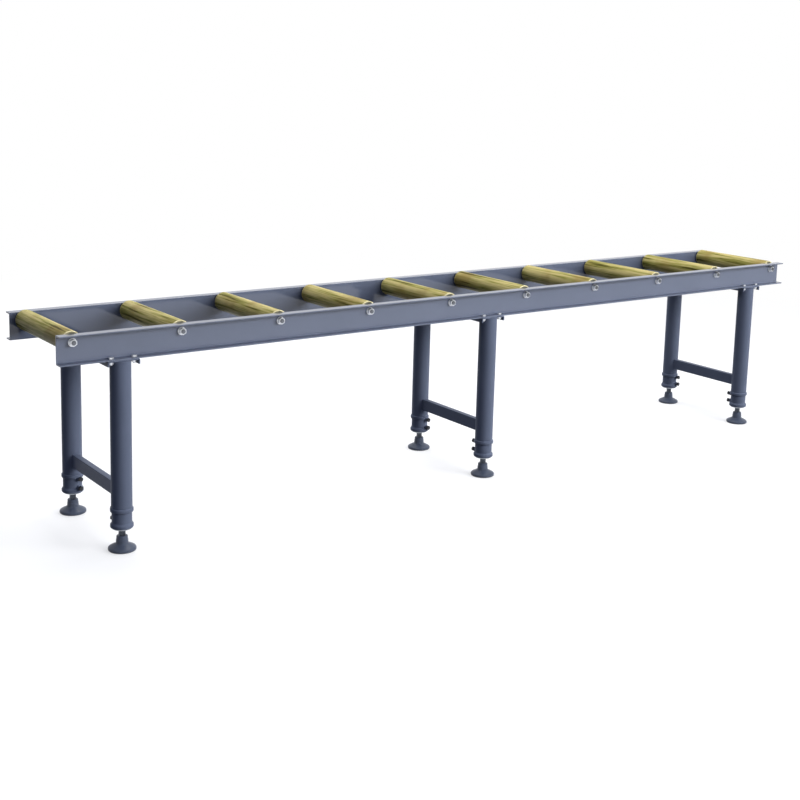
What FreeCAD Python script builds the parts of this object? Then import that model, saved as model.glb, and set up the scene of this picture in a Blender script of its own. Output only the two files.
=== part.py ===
"""Roller table: two channel rails, ten free-turning rollers and three telescopic leg frames.

Millimetres, +X along the rails, +Y from the front rail to the rear rail, +Z up. The origin is on the
floor, under the middle of the table. The legs stand at their lowest setting.
"""
import FreeCAD, Part
import os
import re
import Sketcher

ROLLER_COUNT = 10
FRAMES = {"left": -1, "middle": 0, "right": 1}
SIDES = {"front": -1, "rear": 1}
CORNERS = [(side, frame) for frame in FRAMES for side in SIDES]

# How close two lengths, or two directions, count as the same.
SAME_LENGTH = 1e-4
SAME_DIRECTION = 1e-6

# Driving dimensions, each written once. Angles are in degrees, all else in millimetres.
DRIVING = {
    # Channel rails
    "rail_length": 3000,
    "rail_height": 82,
    "rail_underside": 555,
    "inside_width": 360,
    "flange_width": 30,
    "flange_thickness": 4,
    "web_thickness": 4,
    "root_radius": 4,
    "toe_radius": 1,
    # Rollers
    "roller_end_inset": 45,
    "roller_diameter": 60,
    "roller_wall": 3,
    "roller_proud": 7,
    "roller_end_gap": 5,
    "roller_edge_radius": 1.2,
    # Bearings
    "axle_diameter": 17,
    "race_diameter": 23,
    "cage_diameter": 30,
    "bearing_width": 12,
    "housing_recess": 4,
    "housing_depth": 18,
    "housing_wall": 4,
    "press_clearance": 0.02,
    "running_clearance": 0.05,
    # Axle ends
    "axle_thread": 12,
    "axle_hole_clearance": 0.3,
    "axle_washer_diameter": 24,
    "axle_washer_thickness": 2.5,
    "axle_nut_flats": 19,
    "axle_nut_height": 10,
    "axle_thread_end": 3,
    # Leg frames
    "leg_end_inset": 183,
    "leg_offset": 3,
    "leg_diameter": 60,
    "leg_wall": 3,
    "saddle_width": 95,
    "saddle_depth": 16,
    "saddle_wall": 4,
    "saddle_bend": 5,
    "crossbar_level": 170,
    "crossbar_height": 40,
    "crossbar_width": 20,
    "crossbar_wall": 2,
    "crossbar_corner": 2,
    # Bolts between saddles and rails
    "bolt_spread": 68,
    "bolt_inset": 10,
    "bolt_diameter": 8,
    "bolt_hole_clearance": 0.3,
    "bolt_flats": 13,
    "bolt_head_height": 5.5,
    "bolt_nut_height": 6.5,
    "bolt_thread_end": 3,
    # Clamp collars
    "collar_level": 67,
    "collar_length": 59,
    "collar_diameter": 57.5,
    "collar_spigot": 30,
    "bead_diameter": 66,
    "bead_height": 13,
    "bead_flare": 6,
    "bead_radius": 4,
    "slide_clearance": 0.1,
    # Clamp screws
    "clamp_angle": 75,
    "clamp_low": 17,
    "clamp_high": 46,
    "clamp_boss_diameter": 15,
    "clamp_boss_reach": 35,
    "clamp_screw_diameter": 8,
    "clamp_head_flats": 13,
    "clamp_head_height": 7,
    "clamp_head_standoff": 3,
    "clamp_tip_gap": 0.3,
    # Telescopic inner legs
    "inner_leg_diameter": 45,
    "inner_leg_wall": 3,
    "inner_leg_length": 420,
    "plug_depth": 25,
    "plug_flange_diameter": 54,
    "plug_flange_thickness": 3,
    # Levelling spindles and feet
    "spindle_diameter": 20,
    "spindle_length": 115,
    "spindle_chamfer": 1.5,
    "foot_diameter": 80,
    "foot_rim": 9,
    "foot_rim_radius": 3,
    "foot_cone": 20.5,
    "neck_base_diameter": 35,
    "neck_diameter": 32,
    "neck_level": 43,
    "neck_radius": 3,
    "socket_depth": 21,
}

# Levels and places worked out from the driving dimensions, spelled as formulas of their names.
DERIVED = {
    "web_seam": "flange_thickness + 1.5 * root_radius",
    "axle_level": "rail_underside + rail_height + roller_proud - roller_diameter / 2",
    "roller_row": "rail_length - 2 * roller_end_inset",
    "roller_pitch": f"roller_row / {ROLLER_COUNT - 1}",
    "first_roller": "-(roller_row / 2)",
    "roller_length": "inside_width - 2 * roller_end_gap",
    "tube_bore": "roller_diameter - 2 * roller_wall",
    "housing_face": "roller_length / 2 - housing_recess",
    "web_outside": "inside_width / 2 + web_thickness",
    "washer_outside": "web_outside + axle_washer_thickness",
    "nut_outside": "washer_outside + axle_nut_height",
    "axle_reach": "nut_outside + axle_thread_end",
    "overall_width": "inside_width + 2 * flange_width",
    "bolt_offset": "overall_width / 2 - bolt_inset",
    "bolt_hole": "bolt_diameter + 2 * bolt_hole_clearance",
    "bolt_reach": "flange_thickness + saddle_wall + bolt_nut_height + bolt_thread_end",
    "leg_spacing": "rail_length / 2 - leg_end_inset",
    "leg_track": "inside_width + 2 * leg_offset",
    "saddle_underplate": "rail_underside - saddle_wall",
    "leg_bottom": "collar_level + collar_length",
    "leg_bore": "leg_diameter - 2 * leg_wall",
    "bead_rounding": "min(bead_radius; 0.45 * bead_height; 0.45 * (bead_diameter - collar_diameter))",
    "collar_bore": "inner_leg_diameter + 2 * slide_clearance",
    "inner_leg_bore": "inner_leg_diameter - 2 * inner_leg_wall",
    "clamp_hole": "clamp_screw_diameter + 2 * running_clearance",
    "clamp_tip": "inner_leg_diameter / 2 + clamp_tip_gap",
    "clamp_head": "clamp_boss_reach + clamp_head_standoff",
    "thread_hole": "spindle_diameter + 2 * running_clearance",
    "socket_floor": "neck_level - socket_depth",
}

doc = FreeCAD.newDocument("roller_table")
sheet = doc.addObject("Spreadsheet::Sheet", "sizes")
for row, (name, number) in enumerate(DRIVING.items(), start=1):
    sheet.set(f"A{row}", name)
    sheet.set(f"B{row}", str(number))
    sheet.setAlias(f"B{row}", name)
doc.recompute()


def formula(text):
    """Spells a formula of size names as an expression on the sheet."""
    def spell(match):
        word = match.group(0)
        if word in DRIVING:
            return f"sizes.{word}"
        if word in DERIVED:
            return f"({formula(DERIVED[word])})"
        return word
    return re.sub(r"[a-z][a-z_]*", spell, text)


def value(text):
    """Number that a formula gives with the sheet as it stands."""
    return float(sheet.evalExpression(formula(text)))


def bind(thing, prop, text):
    """Ties a property of a document object to a formula."""
    thing.setExpression(prop, formula(text))


def new_body(label, x="0", y="0", z="0", turn="0"):
    """Body with its own label, placed by formulas and turned about +Z."""
    body = doc.addObject("PartDesign::Body", label)
    body.Label = label
    body.Placement.Rotation = FreeCAD.Rotation(FreeCAD.Vector(0, 0, 1), value(turn))
    for axis, text in zip("xyz", (x, y, z)):
        bind(body, f"Placement.Base.{axis}", text)
    bind(body, "Placement.Rotation.Angle", turn)
    return body


def origin_of(body, role):
    """Origin plane or axis of a body, by its role."""
    return next(item for item in body.Origin.OriginFeatures if item.Role == role)


def new_sketch(body, name, plane, lift=None):
    """Sketch on one of the body's origin planes, lifted along the plane's normal."""
    sketch = body.newObject("Sketcher::SketchObject", f"{body.Label}_{name}")
    sketch.AttachmentSupport = (origin_of(body, plane), [""])
    sketch.MapMode = "FlatFace"
    if lift:
        bind(sketch, "AttachmentOffset.Base.z", lift)
    return sketch


def pin_point(sketch, geometry, point, place):
    """Holds one point of a sketch at a place given by two formulas."""
    for axis, kind, text in zip((-2, -1), ("DistanceX", "DistanceY"), place):
        number = value(text)
        if abs(number) < SAME_LENGTH:
            sketch.addConstraint(Sketcher.Constraint("PointOnObject", geometry, point, axis))
            continue
        index = sketch.addConstraint(Sketcher.Constraint(kind, -1, 1, geometry, point, number))
        sketch.renameConstraint(index, f"{kind}_{geometry}")
        bind(sketch, f"Constraints.{kind}_{geometry}", text)


def add_polygon(sketch, corners):
    """Closed outline whose corners are pairs of formulas."""
    places = [FreeCAD.Vector(value(x), value(y), 0) for x, y in corners]
    first = len(sketch.Geometry)
    count = len(corners)
    for index, place in enumerate(places):
        sketch.addGeometry(Part.LineSegment(place, places[(index + 1) % count]))
    for index, corner in enumerate(corners):
        after = first + (index + 1) % count
        sketch.addConstraint(Sketcher.Constraint("Coincident", first + index, 2, after, 1))
        pin_point(sketch, first + index, 1, corner)


def add_hexagon(sketch, flats, x="0", y="0"):
    """Hexagon of a given width across flats, with two flats upright."""
    reach = f"({flats}) / 2 / cos(30deg)"
    turns = [f"{30 + 60 * step}deg" for step in range(6)]
    add_polygon(sketch, [(f"{x} + {reach} * cos({a})", f"{y} + {reach} * sin({a})") for a in turns])


def add_circle(sketch, diameter, x="0", y="0"):
    """Circle whose diameter and centre are formulas."""
    centre = FreeCAD.Vector(value(x), value(y), 0)
    circle = Part.Circle(centre, FreeCAD.Vector(0, 0, 1), value(diameter) / 2)
    index = sketch.addGeometry(circle)
    pin_point(sketch, index, 3, (x, y))
    size = sketch.addConstraint(Sketcher.Constraint("Diameter", index, value(diameter)))
    sketch.renameConstraint(size, f"Diameter_{index}")
    bind(sketch, f"Constraints.Diameter_{index}", diameter)


def extrude(body, sketch, kind, length, symmetric=False, backwards=False):
    """Pad or pocket of a sketch; backwards goes against the way the kind points by itself."""
    feature = body.newObject(f"PartDesign::{kind}", f"{sketch.Name}_{kind.lower()}")
    feature.Profile = sketch
    feature.SideType = "Symmetric" if symmetric else "One side"
    feature.Reversed = backwards
    bind(feature, "Length", length)
    doc.recompute()
    return feature


def spin(body, sketch, kind="Revolution", axis="V_Axis"):
    """Full turn of a sketch about one of its own axes."""
    feature = body.newObject(f"PartDesign::{kind}", f"{sketch.Name}_{kind.lower()}")
    feature.Profile = sketch
    feature.ReferenceAxis = (sketch, [axis])
    feature.Angle = 360
    doc.recompute()
    return feature


def round_edges(body, base, chosen, radius):
    """Fillet on the edges of the base feature that a test chooses."""
    edges = [f"Edge{i}" for i, edge in enumerate(base.Shape.Edges, start=1) if chosen(edge)]
    feature = body.newObject("PartDesign::Fillet", f"{base.Name}_round_{radius}")
    feature.Base = (base, edges)
    bind(feature, "Radius", radius)
    doc.recompute()
    return feature


def row_of(body, axis, length, count):
    """Straight row of copies, for use alone or inside a repeat."""
    pattern = body.newObject("PartDesign::LinearPattern", f"{body.Label}_row")
    pattern.Direction = (origin_of(body, axis), [""])
    bind(pattern, "Length", length)
    pattern.Occurrences = count
    return pattern


def mirrored(body, plane):
    """Copy on the other side of one of the body's planes."""
    mirror = body.newObject("PartDesign::Mirrored", f"{body.Label}_mirror")
    mirror.MirrorPlane = (origin_of(body, plane), [""])
    return mirror


def repeat(body, features, steps):
    """Repeats features through one step, or through several steps in turn."""
    if len(steps) == 1:
        result = steps[0]
    else:
        result = body.newObject("PartDesign::MultiTransform", f"{body.Label}_repeat")
        result.Transformations = steps
    result.Originals = features
    body.Tip = result
    doc.recompute()
    return result


def group(label, members):
    """Compound that keeps its members as separate solids."""
    compound = doc.addObject("Part::Compound", label)
    compound.Label = label
    compound.Links = members
    return compound


def lies_along(edge, direction):
    """True for a straight edge along a direction."""
    if not isinstance(edge.Curve, Part.Line):
        return False
    return abs(abs(edge.Curve.Direction.dot(direction)) - 1) < SAME_DIRECTION


def passes(edge, **place):
    """True where the middle of an edge has the given coordinates."""
    middle = edge.BoundBox.Center
    return all(abs(getattr(middle, axis) - number) < SAME_LENGTH for axis, number in place.items())


def ring_of(edge, diameter):
    """True for a circular edge of a given diameter."""
    return isinstance(edge.Curve, Part.Circle) and abs(2 * edge.Curve.Radius - diameter) < SAME_LENGTH


def rail_strip(label, side, corners):
    """Body that runs the length of a rail, and the pad of its outline, drawn as the front rail has it."""
    turn = "0" if side < 0 else "180"
    body = new_body(label, y=f"{side} * inside_width / 2", z="rail_underside", turn=turn)
    profile = new_sketch(body, "profile", "YZ_Plane")
    add_polygon(profile, corners)
    return body, extrude(body, profile, "Pad", "rail_length", symmetric=True)


def rail_flange(label, side, outer, inner, seam):
    """Flange with the root of the web, given the levels of its two faces and of its seam with the web."""
    body, strip = rail_strip(label, side, [
        ("0", outer), ("-flange_width", outer), ("-flange_width", inner), ("-web_thickness", inner),
        ("-web_thickness", seam), ("0", seam)])
    along = FreeCAD.Vector(1, 0, 0)
    root = round_edges(body, strip, lambda edge: lies_along(edge, along) and passes(
        edge, y=-value("web_thickness"), z=value(inner)), "root_radius")
    heel_and_toe = [(0, value(outer)), (-value("flange_width"), value(inner))]
    round_edges(body, root, lambda edge: lies_along(edge, along) and any(
        passes(edge, y=y, z=z) for y, z in heel_and_toe), "toe_radius")
    return body


def side_rail(label, side):
    """Channel rail with its web inboard, drilled for the axles and for the saddle bolts.

    The web and the two flanges are separate solids, each simple by itself, so that the space between the
    flanges stays open where simple hulls stand for the solids.
    """
    top_seam = "rail_height - web_seam"
    web, _ = rail_strip(f"{label}_web", side, [
        ("0", "web_seam"), ("-web_thickness", "web_seam"), ("-web_thickness", top_seam), ("0", top_seam)])
    axle_hole = new_sketch(web, "axle_hole", "XZ_Plane")
    add_circle(axle_hole, "axle_thread + 2 * axle_hole_clearance", "first_roller",
               "axle_level - rail_underside")
    cut = extrude(web, axle_hole, "Pocket", "4 * web_thickness", symmetric=True)
    repeat(web, [cut], [row_of(web, "X_Axis", "roller_row", ROLLER_COUNT)])

    lower = rail_flange(f"{label}_lower_flange", side, "0", "flange_thickness", "web_seam")
    bolt_holes = new_sketch(lower, "bolt_holes", "XY_Plane")
    for frame in FRAMES.values():
        for half in (-1, 1):
            add_circle(bolt_holes, "bolt_hole", f"{frame} * leg_spacing + {half} * bolt_spread / 2",
                       "bolt_inset - flange_width")
    lower.Tip = extrude(lower, bolt_holes, "Pocket", "2 * flange_thickness", backwards=True)
    underside = "rail_height - flange_thickness"
    upper = rail_flange(f"{label}_upper_flange", side, "rail_height", underside, top_seam)
    return group(label, [web, lower, upper])


def roller_tube(label, place):
    """Plated steel tube with lightly rounded ends."""
    body = new_body(label, x=place, z="axle_level")
    section = new_sketch(body, "section", "XZ_Plane")
    add_circle(section, "roller_diameter")
    add_circle(section, "tube_bore")
    tube = extrude(body, section, "Pad", "roller_length", symmetric=True)
    body.Tip = round_edges(body, tube, lambda edge: ring_of(edge, value("roller_diameter")),
                           "roller_edge_radius")
    return body


def roller_housings(label, place):
    """Two pressed cups in the tube's ends; the bore of each is the outer race."""
    body = new_body(label, x=place, z="axle_level")
    section = new_sketch(body, "section", "XY_Plane")
    outer = "tube_bore / 2 - press_clearance"
    bore = "cage_diameter / 2 + running_clearance"
    disc_back = "housing_face - housing_wall"
    hub = f"{bore} + housing_wall"
    add_polygon(section, [
        (bore, "housing_face"), (outer, "housing_face"), (outer, "housing_face - housing_depth"),
        (f"{outer} - housing_wall", "housing_face - housing_depth"), (f"{outer} - housing_wall", disc_back),
        (hub, disc_back), (hub, "housing_face - bearing_width"), (bore, "housing_face - bearing_width")])
    cup = spin(body, section)
    repeat(body, [cup], [mirrored(body, "XZ_Plane")])
    return body


def ring_row(label, inner, outer, near, far):
    """A ring round every axle, on both sides of the table."""
    body = new_body(label, x="first_roller", z="axle_level")
    section = new_sketch(body, "section", "XY_Plane")
    add_polygon(section, [(inner, near), (outer, near), (outer, far), (inner, far)])
    ring = spin(body, section)
    repeat(body, [ring], [mirrored(body, "XZ_Plane"), row_of(body, "X_Axis", "roller_row", ROLLER_COUNT)])
    return body


def axle_row():
    """Shouldered axles whose threaded ends pass through the webs."""
    body = new_body("axle_rods", x="first_roller", z="axle_level")
    section = new_sketch(body, "section", "XY_Plane")
    shoulder = "inside_width / 2"
    add_polygon(section, [
        ("0", "-axle_reach"), ("axle_thread / 2", "-axle_reach"), ("axle_thread / 2", f"-{shoulder}"),
        ("axle_diameter / 2", f"-{shoulder}"), ("axle_diameter / 2", shoulder), ("axle_thread / 2", shoulder),
        ("axle_thread / 2", "axle_reach"), ("0", "axle_reach")])
    rod = spin(body, section)
    repeat(body, [rod], [row_of(body, "X_Axis", "roller_row", ROLLER_COUNT)])
    return body


def roller_axles():
    """Fixed axles, each with an inner race and a ring of caged balls near both ends."""
    inner_face = "housing_face - bearing_width"
    races = ring_row("inner_races", "axle_diameter / 2", "race_diameter / 2", inner_face, "housing_face")
    cages = ring_row("ball_cages", "race_diameter / 2", "cage_diameter / 2", inner_face, "housing_face")
    return group("roller_axles", [axle_row(), races, cages])


def chamfer_hexagon(body, flats, outside):
    """Turns down the corners of a hexagon at its outer end, at 30 degrees."""
    section = new_sketch(body, "chamfer", "XY_Plane")
    corner = f"{flats} / 2 / cos(30deg)"
    drop = f"({corner} - {flats} / 2) * tan(30deg)"
    beyond = f"2 * {corner} - {flats} / 2"
    add_polygon(section, [(f"{flats} / 2", outside), (beyond, outside), (beyond, f"{outside} - 2 * {drop}")])
    return spin(body, section, "Groove")


def axle_nuts():
    """A washer and a chamfered hexagon nut on each end of each axle."""
    washers = ring_row("axle_washers", "axle_thread / 2 + axle_hole_clearance", "axle_washer_diameter / 2",
                       "web_outside", "washer_outside")
    body = new_body("axle_hexagons", x="first_roller", z="axle_level")
    section = new_sketch(body, "section", "XZ_Plane", lift="-washer_outside")
    add_hexagon(section, "axle_nut_flats")
    add_circle(section, "axle_thread")
    hexagon = extrude(body, section, "Pad", "axle_nut_height", backwards=True)
    bevel = chamfer_hexagon(body, "axle_nut_flats", "nut_outside")
    repeat(body, [hexagon, bevel], [mirrored(body, "XZ_Plane"),
                                    row_of(body, "X_Axis", "roller_row", ROLLER_COUNT)])
    return group("axle_nuts", [washers, body])


def saddle(label, frame):
    """Inverted channel across the top of a leg frame, drilled for four bolts."""
    body = new_body(label, x=f"{frame} * leg_spacing", z="rail_underside")
    profile = new_sketch(body, "profile", "XZ_Plane")
    half = "saddle_width / 2"
    inner = "saddle_width / 2 - saddle_wall"
    add_polygon(profile, [
        (f"-{half}", "-saddle_depth"), (f"-({inner})", "-saddle_depth"), (f"-({inner})", "-saddle_wall"),
        (inner, "-saddle_wall"), (inner, "-saddle_depth"), (half, "-saddle_depth"), (half, "0"),
        (f"-{half}", "0")])
    channel = extrude(body, profile, "Pad", "overall_width", symmetric=True)
    across = FreeCAD.Vector(0, 1, 0)
    round_edges(body, channel, lambda edge: lies_along(edge, across) and any(
        passes(edge, x=half_side * value(half), z=0) for half_side in (-1, 1)), "saddle_bend")
    holes = new_sketch(body, "holes", "XY_Plane")
    for half_x in (-1, 1):
        for half_y in (-1, 1):
            add_circle(holes, "bolt_hole", f"{half_x} * bolt_spread / 2", f"{half_y} * bolt_offset")
    body.Tip = extrude(body, holes, "Pocket", "2 * saddle_wall")
    return body


def leg_tube(label, side, frame):
    """Round leg, from the clamp collar up to the plate of the saddle."""
    body = new_body(label, f"{frame} * leg_spacing", f"{side} * leg_track / 2", "leg_bottom")
    section = new_sketch(body, "section", "XY_Plane")
    add_circle(section, "leg_diameter")
    add_circle(section, "leg_bore")
    extrude(body, section, "Pad", "saddle_underplate - leg_bottom")
    return body


def crossbar(name, frame):
    """Rectangular tube between two legs, with its ends shaped to fit round them."""
    body = new_body(f"{name}_crossbar", x=f"{frame} * leg_spacing", z="crossbar_level")
    section = new_sketch(body, "section", "XZ_Plane")
    for wall in ("0", "crossbar_wall"):
        half_x = f"(crossbar_width / 2 - {wall})"
        half_z = f"(crossbar_height / 2 - {wall})"
        add_polygon(section, [(f"{i} * {half_x}", f"{j} * {half_z}")
                              for i, j in ((-1, -1), (1, -1), (1, 1), (-1, 1))])
    bar = extrude(body, section, "Pad", "leg_track", symmetric=True)
    across = FreeCAD.Vector(0, 1, 0)
    round_edges(body, bar, lambda edge: lies_along(edge, across) and any(
        passes(edge, x=i * value("crossbar_width / 2")) for i in (-1, 1)), "crossbar_corner")
    ends = new_sketch(body, "ends", "XY_Plane")
    for side in SIDES.values():
        add_circle(ends, "leg_diameter", "0", f"{side} * leg_track / 2")
    body.Tip = extrude(body, ends, "Pocket", "2 * crossbar_height", symmetric=True)
    return body


def bolt_steps(body):
    """From one saddle bolt to all of them: both sides of a leg, three frames, two rails."""
    return [row_of(body, "X_Axis", "bolt_spread", 2),
            row_of(body, "X_Axis", "2 * leg_spacing", len(FRAMES)),
            row_of(body, "Y_Axis", "2 * bolt_offset", len(SIDES))]


def rail_bolts():
    """Bolts down through the lower flanges and the saddles, each with its nut."""
    place = ("-leg_spacing - bolt_spread / 2", "-bolt_offset")
    bolts = new_body("saddle_bolts", *place, "rail_underside + flange_thickness")
    head = new_sketch(bolts, "head", "XY_Plane")
    add_hexagon(head, "bolt_flats")
    head_pad = extrude(bolts, head, "Pad", "bolt_head_height")
    shank = new_sketch(bolts, "shank", "XY_Plane")
    add_circle(shank, "bolt_diameter")
    shank_pad = extrude(bolts, shank, "Pad", "bolt_reach", backwards=True)
    repeat(bolts, [head_pad, shank_pad], bolt_steps(bolts))

    nuts = new_body("saddle_nuts", *place, "saddle_underplate")
    section = new_sketch(nuts, "section", "XY_Plane")
    add_hexagon(section, "bolt_flats")
    add_circle(section, "bolt_diameter")
    nut_pad = extrude(nuts, section, "Pad", "bolt_nut_height", backwards=True)
    repeat(nuts, [nut_pad], bolt_steps(nuts))
    return group("rail_bolts", [bolts, nuts])


def clamp_body(label, side, frame):
    """Body on a leg's axis at the collar's underside, with +Y turned to the clamp screws."""
    turn = "90 - clamp_angle" if side < 0 else "270 - clamp_angle"
    return new_body(label, f"{frame} * leg_spacing", f"{side} * leg_track / 2", "collar_level", turn)


def leg_collar(name, side, frame):
    """Bush with a flared foot, a bead, a spigot up into the leg tube and two bosses for the clamp screws."""
    body = clamp_body(f"{name}_collar", side, frame)
    section = new_sketch(body, "section", "XZ_Plane")
    bead = "bead_diameter / 2"
    waist = "collar_diameter / 2"
    upper_bead = "collar_length - bead_height"
    spigot = "leg_bore / 2 - press_clearance"
    spigot_top = "collar_length + collar_spigot"
    add_polygon(section, [
        ("0", "0"), (bead, "0"), (bead, "bead_height - bead_flare / 2"),
        (waist, "bead_height + bead_flare / 2"), (waist, upper_bead),
        (bead, upper_bead), (bead, "collar_length"), (spigot, "collar_length"), (spigot, spigot_top),
        ("0", spigot_top)])
    turned = spin(body, section)
    round_edges(body, turned, lambda edge: ring_of(edge, value("bead_diameter")), "bead_rounding")
    bosses = new_sketch(body, "bosses", "XZ_Plane")
    screw_holes = new_sketch(body, "screw_holes", "XZ_Plane")
    for level in ("clamp_low", "clamp_high"):
        add_circle(bosses, "clamp_boss_diameter", "0", level)
        add_circle(screw_holes, "clamp_hole", "0", level)
    extrude(body, bosses, "Pad", "clamp_boss_reach", backwards=True)
    bore = new_sketch(body, "bore", "XY_Plane")
    add_circle(bore, "collar_bore")
    extrude(body, bore, "Pocket", f"2 * ({spigot_top})", symmetric=True)
    body.Tip = extrude(body, screw_holes, "Pocket", "2 * clamp_boss_reach")
    return body


def clamp_screws(label, side, frame):
    """Two hexagon-headed screws that press on the inner leg."""
    body = clamp_body(label, side, frame)
    shanks = new_sketch(body, "shanks", "XZ_Plane", lift="-(clamp_tip)")
    heads = new_sketch(body, "heads", "XZ_Plane", lift="-(clamp_head)")
    for level in ("clamp_low", "clamp_high"):
        add_circle(shanks, "clamp_screw_diameter", "0", level)
        add_hexagon(heads, "clamp_head_flats", "0", level)
    extrude(body, shanks, "Pad", "clamp_head + clamp_head_height / 2 - clamp_tip", backwards=True)
    body.Tip = extrude(body, heads, "Pad", "clamp_head_height", backwards=True)
    return body


def inner_leg(label, side, frame):
    """Telescopic tube with a flanged, threaded plug in its lower end."""
    place = (f"{frame} * leg_spacing", f"{side} * leg_track / 2", "collar_level")
    tube = new_body(f"{label}_tube", *place)
    section = new_sketch(tube, "section", "XY_Plane")
    add_circle(section, "inner_leg_diameter")
    add_circle(section, "inner_leg_bore")
    extrude(tube, section, "Pad", "inner_leg_length")

    plug = new_body(f"{label}_plug", *place)
    profile = new_sketch(plug, "profile", "XZ_Plane")
    thread = "thread_hole / 2"
    spigot = "inner_leg_bore / 2 - press_clearance"
    add_polygon(profile, [
        (thread, "-plug_flange_thickness"), ("plug_flange_diameter / 2", "-plug_flange_thickness"),
        ("plug_flange_diameter / 2", "0"), (spigot, "0"), (spigot, "plug_depth"), (thread, "plug_depth")])
    spin(plug, profile)
    return group(label, [tube, plug])


def spindle(label, side, frame):
    """Levelling screw, from its socket in the foot up through the plug."""
    body = new_body(label, f"{frame} * leg_spacing", f"{side} * leg_track / 2", "socket_floor")
    profile = new_sketch(body, "profile", "XZ_Plane")
    radius = "spindle_diameter / 2"
    narrow = f"{radius} - spindle_chamfer"
    add_polygon(profile, [
        ("0", "0"), (narrow, "0"), (radius, "spindle_chamfer"), (radius, "spindle_length - spindle_chamfer"),
        (narrow, "spindle_length"), ("0", "spindle_length")])
    spin(body, profile)
    return body


def foot(label, side, frame):
    """Round levelling foot: a rimmed disc, a shallow cone and a neck with the spindle's socket."""
    body = new_body(label, f"{frame} * leg_spacing", f"{side} * leg_track / 2")
    profile = new_sketch(body, "profile", "XZ_Plane")
    rim = "foot_diameter / 2"
    socket = "thread_hole / 2"
    add_polygon(profile, [
        ("0", "0"), (rim, "0"), (rim, "foot_rim"), ("neck_base_diameter / 2", "foot_cone"),
        ("neck_diameter / 2", "neck_level"), (socket, "neck_level"), (socket, "socket_floor"),
        ("0", "socket_floor")])
    turned = spin(body, profile)
    rounded = round_edges(body, turned, lambda edge: ring_of(edge, value("foot_diameter")), "foot_rim_radius")
    body.Tip = round_edges(body, rounded, lambda edge: ring_of(edge, value("neck_diameter")), "neck_radius")
    return body


def build():
    """Makes every sub-part and returns them in order."""
    parts = [side_rail(f"{name}_rail", side) for name, side in SIDES.items()]
    for number in range(ROLLER_COUNT):
        place = f"first_roller + {number} * roller_pitch"
        parts.append(roller_tube(f"roller_{number + 1:02d}_tube", place))
        parts.append(roller_housings(f"roller_{number + 1:02d}_housings", place))
    parts += [roller_axles(), axle_nuts()]
    parts += [saddle(f"{name}_saddle", frame) for name, frame in FRAMES.items()]
    parts.append(group("crossbars", [crossbar(name, frame) for name, frame in FRAMES.items()]))
    parts.append(rail_bolts())
    collars = []
    for side_name, frame_name in CORNERS:
        name = f"{side_name}_{frame_name}"
        place = (SIDES[side_name], FRAMES[frame_name])
        collars.append(leg_collar(name, *place))
        parts.append(leg_tube(f"{name}_leg_tube", *place))
        parts.append(inner_leg(f"{name}_inner_leg", *place))
        parts.append(clamp_screws(f"{name}_clamp_screws", *place))
        parts.append(spindle(f"{name}_spindle", *place))
        parts.append(foot(f"{name}_foot", *place))
    parts.append(group("leg_collars", collars))
    doc.recompute()
    return parts


def check(parts):
    """Stops if any object failed to build or any sub-part is not a set of sound solids."""
    for thing in doc.Objects:
        if "Invalid" in thing.State or "Error" in thing.State:
            raise RuntimeError(f"{thing.Label} failed: {thing.State}")
    for part in parts:
        if part.Shape.isNull() or not part.Shape.isValid() or not part.Shape.Solids:
            raise RuntimeError(f"{part.Label} has no sound shape")


sub_parts = build()
check(sub_parts)
os.makedirs("parts", exist_ok=True)
for part in sub_parts:
    part.Shape.exportStep(f"parts/{part.Label}.step")
    print(part.Label, len(part.Shape.Solids), "solids", round(part.Shape.Volume), "mm3")
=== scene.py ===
"""Looks of the roller table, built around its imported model.

Metres, +X along the rails, +Y from the front rail to the rear rail, +Z up. The origin is on the floor under
the middle of the table. Sizes of pieces are written in millimetres and turned to metres when a mesh is made.
"""
import logging
import math
from dataclasses import dataclass
from enum import Enum
from typing import Any

import bmesh
import bpy
import numpy as np
from mathutils import Matrix, Vector


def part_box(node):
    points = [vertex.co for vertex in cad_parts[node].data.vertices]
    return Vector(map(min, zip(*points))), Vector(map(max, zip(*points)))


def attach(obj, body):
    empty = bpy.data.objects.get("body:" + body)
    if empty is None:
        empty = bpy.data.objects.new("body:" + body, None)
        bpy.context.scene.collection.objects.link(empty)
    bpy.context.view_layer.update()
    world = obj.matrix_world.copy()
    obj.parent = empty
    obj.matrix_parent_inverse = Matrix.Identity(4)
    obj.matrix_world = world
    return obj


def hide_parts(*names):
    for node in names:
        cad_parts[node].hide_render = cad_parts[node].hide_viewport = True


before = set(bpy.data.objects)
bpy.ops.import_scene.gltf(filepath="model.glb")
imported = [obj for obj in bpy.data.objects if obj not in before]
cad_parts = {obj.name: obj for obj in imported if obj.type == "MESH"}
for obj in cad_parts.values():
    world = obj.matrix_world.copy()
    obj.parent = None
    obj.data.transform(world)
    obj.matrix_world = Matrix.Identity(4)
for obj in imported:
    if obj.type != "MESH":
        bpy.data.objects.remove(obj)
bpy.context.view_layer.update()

LOG = logging.getLogger("roller_table")
MM = 0.001
FULL_TURN = 2.0 * math.pi
ACROSS = np.array([0.0, 1.0, 0.0])
UP = np.array([0.0, 0.0, 1.0])

# Points of a new mesh that lie closer than this are one point.
MERGE_MM = 0.002
# Edges that bend by more than this stay sharp, in degrees.
SHARP_ANGLE = 38.0
# How far the thread of a bolt or screw runs into its head, in millimetres.
THREAD_RUN_IN = 1.0

# Sockets of the colour Mix node, which has several of the same name.
MIX_FACTOR, MIX_A, MIX_B, MIX_RESULT = 0, 6, 7, 2


class Side(Enum):
    """The long sides of the table, with the way each faces along Y."""

    FRONT = -1
    REAR = 1


class Station(Enum):
    """The three leg frames, counted along X."""

    LEFT = -1
    MIDDLE = 0
    RIGHT = 1


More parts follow.
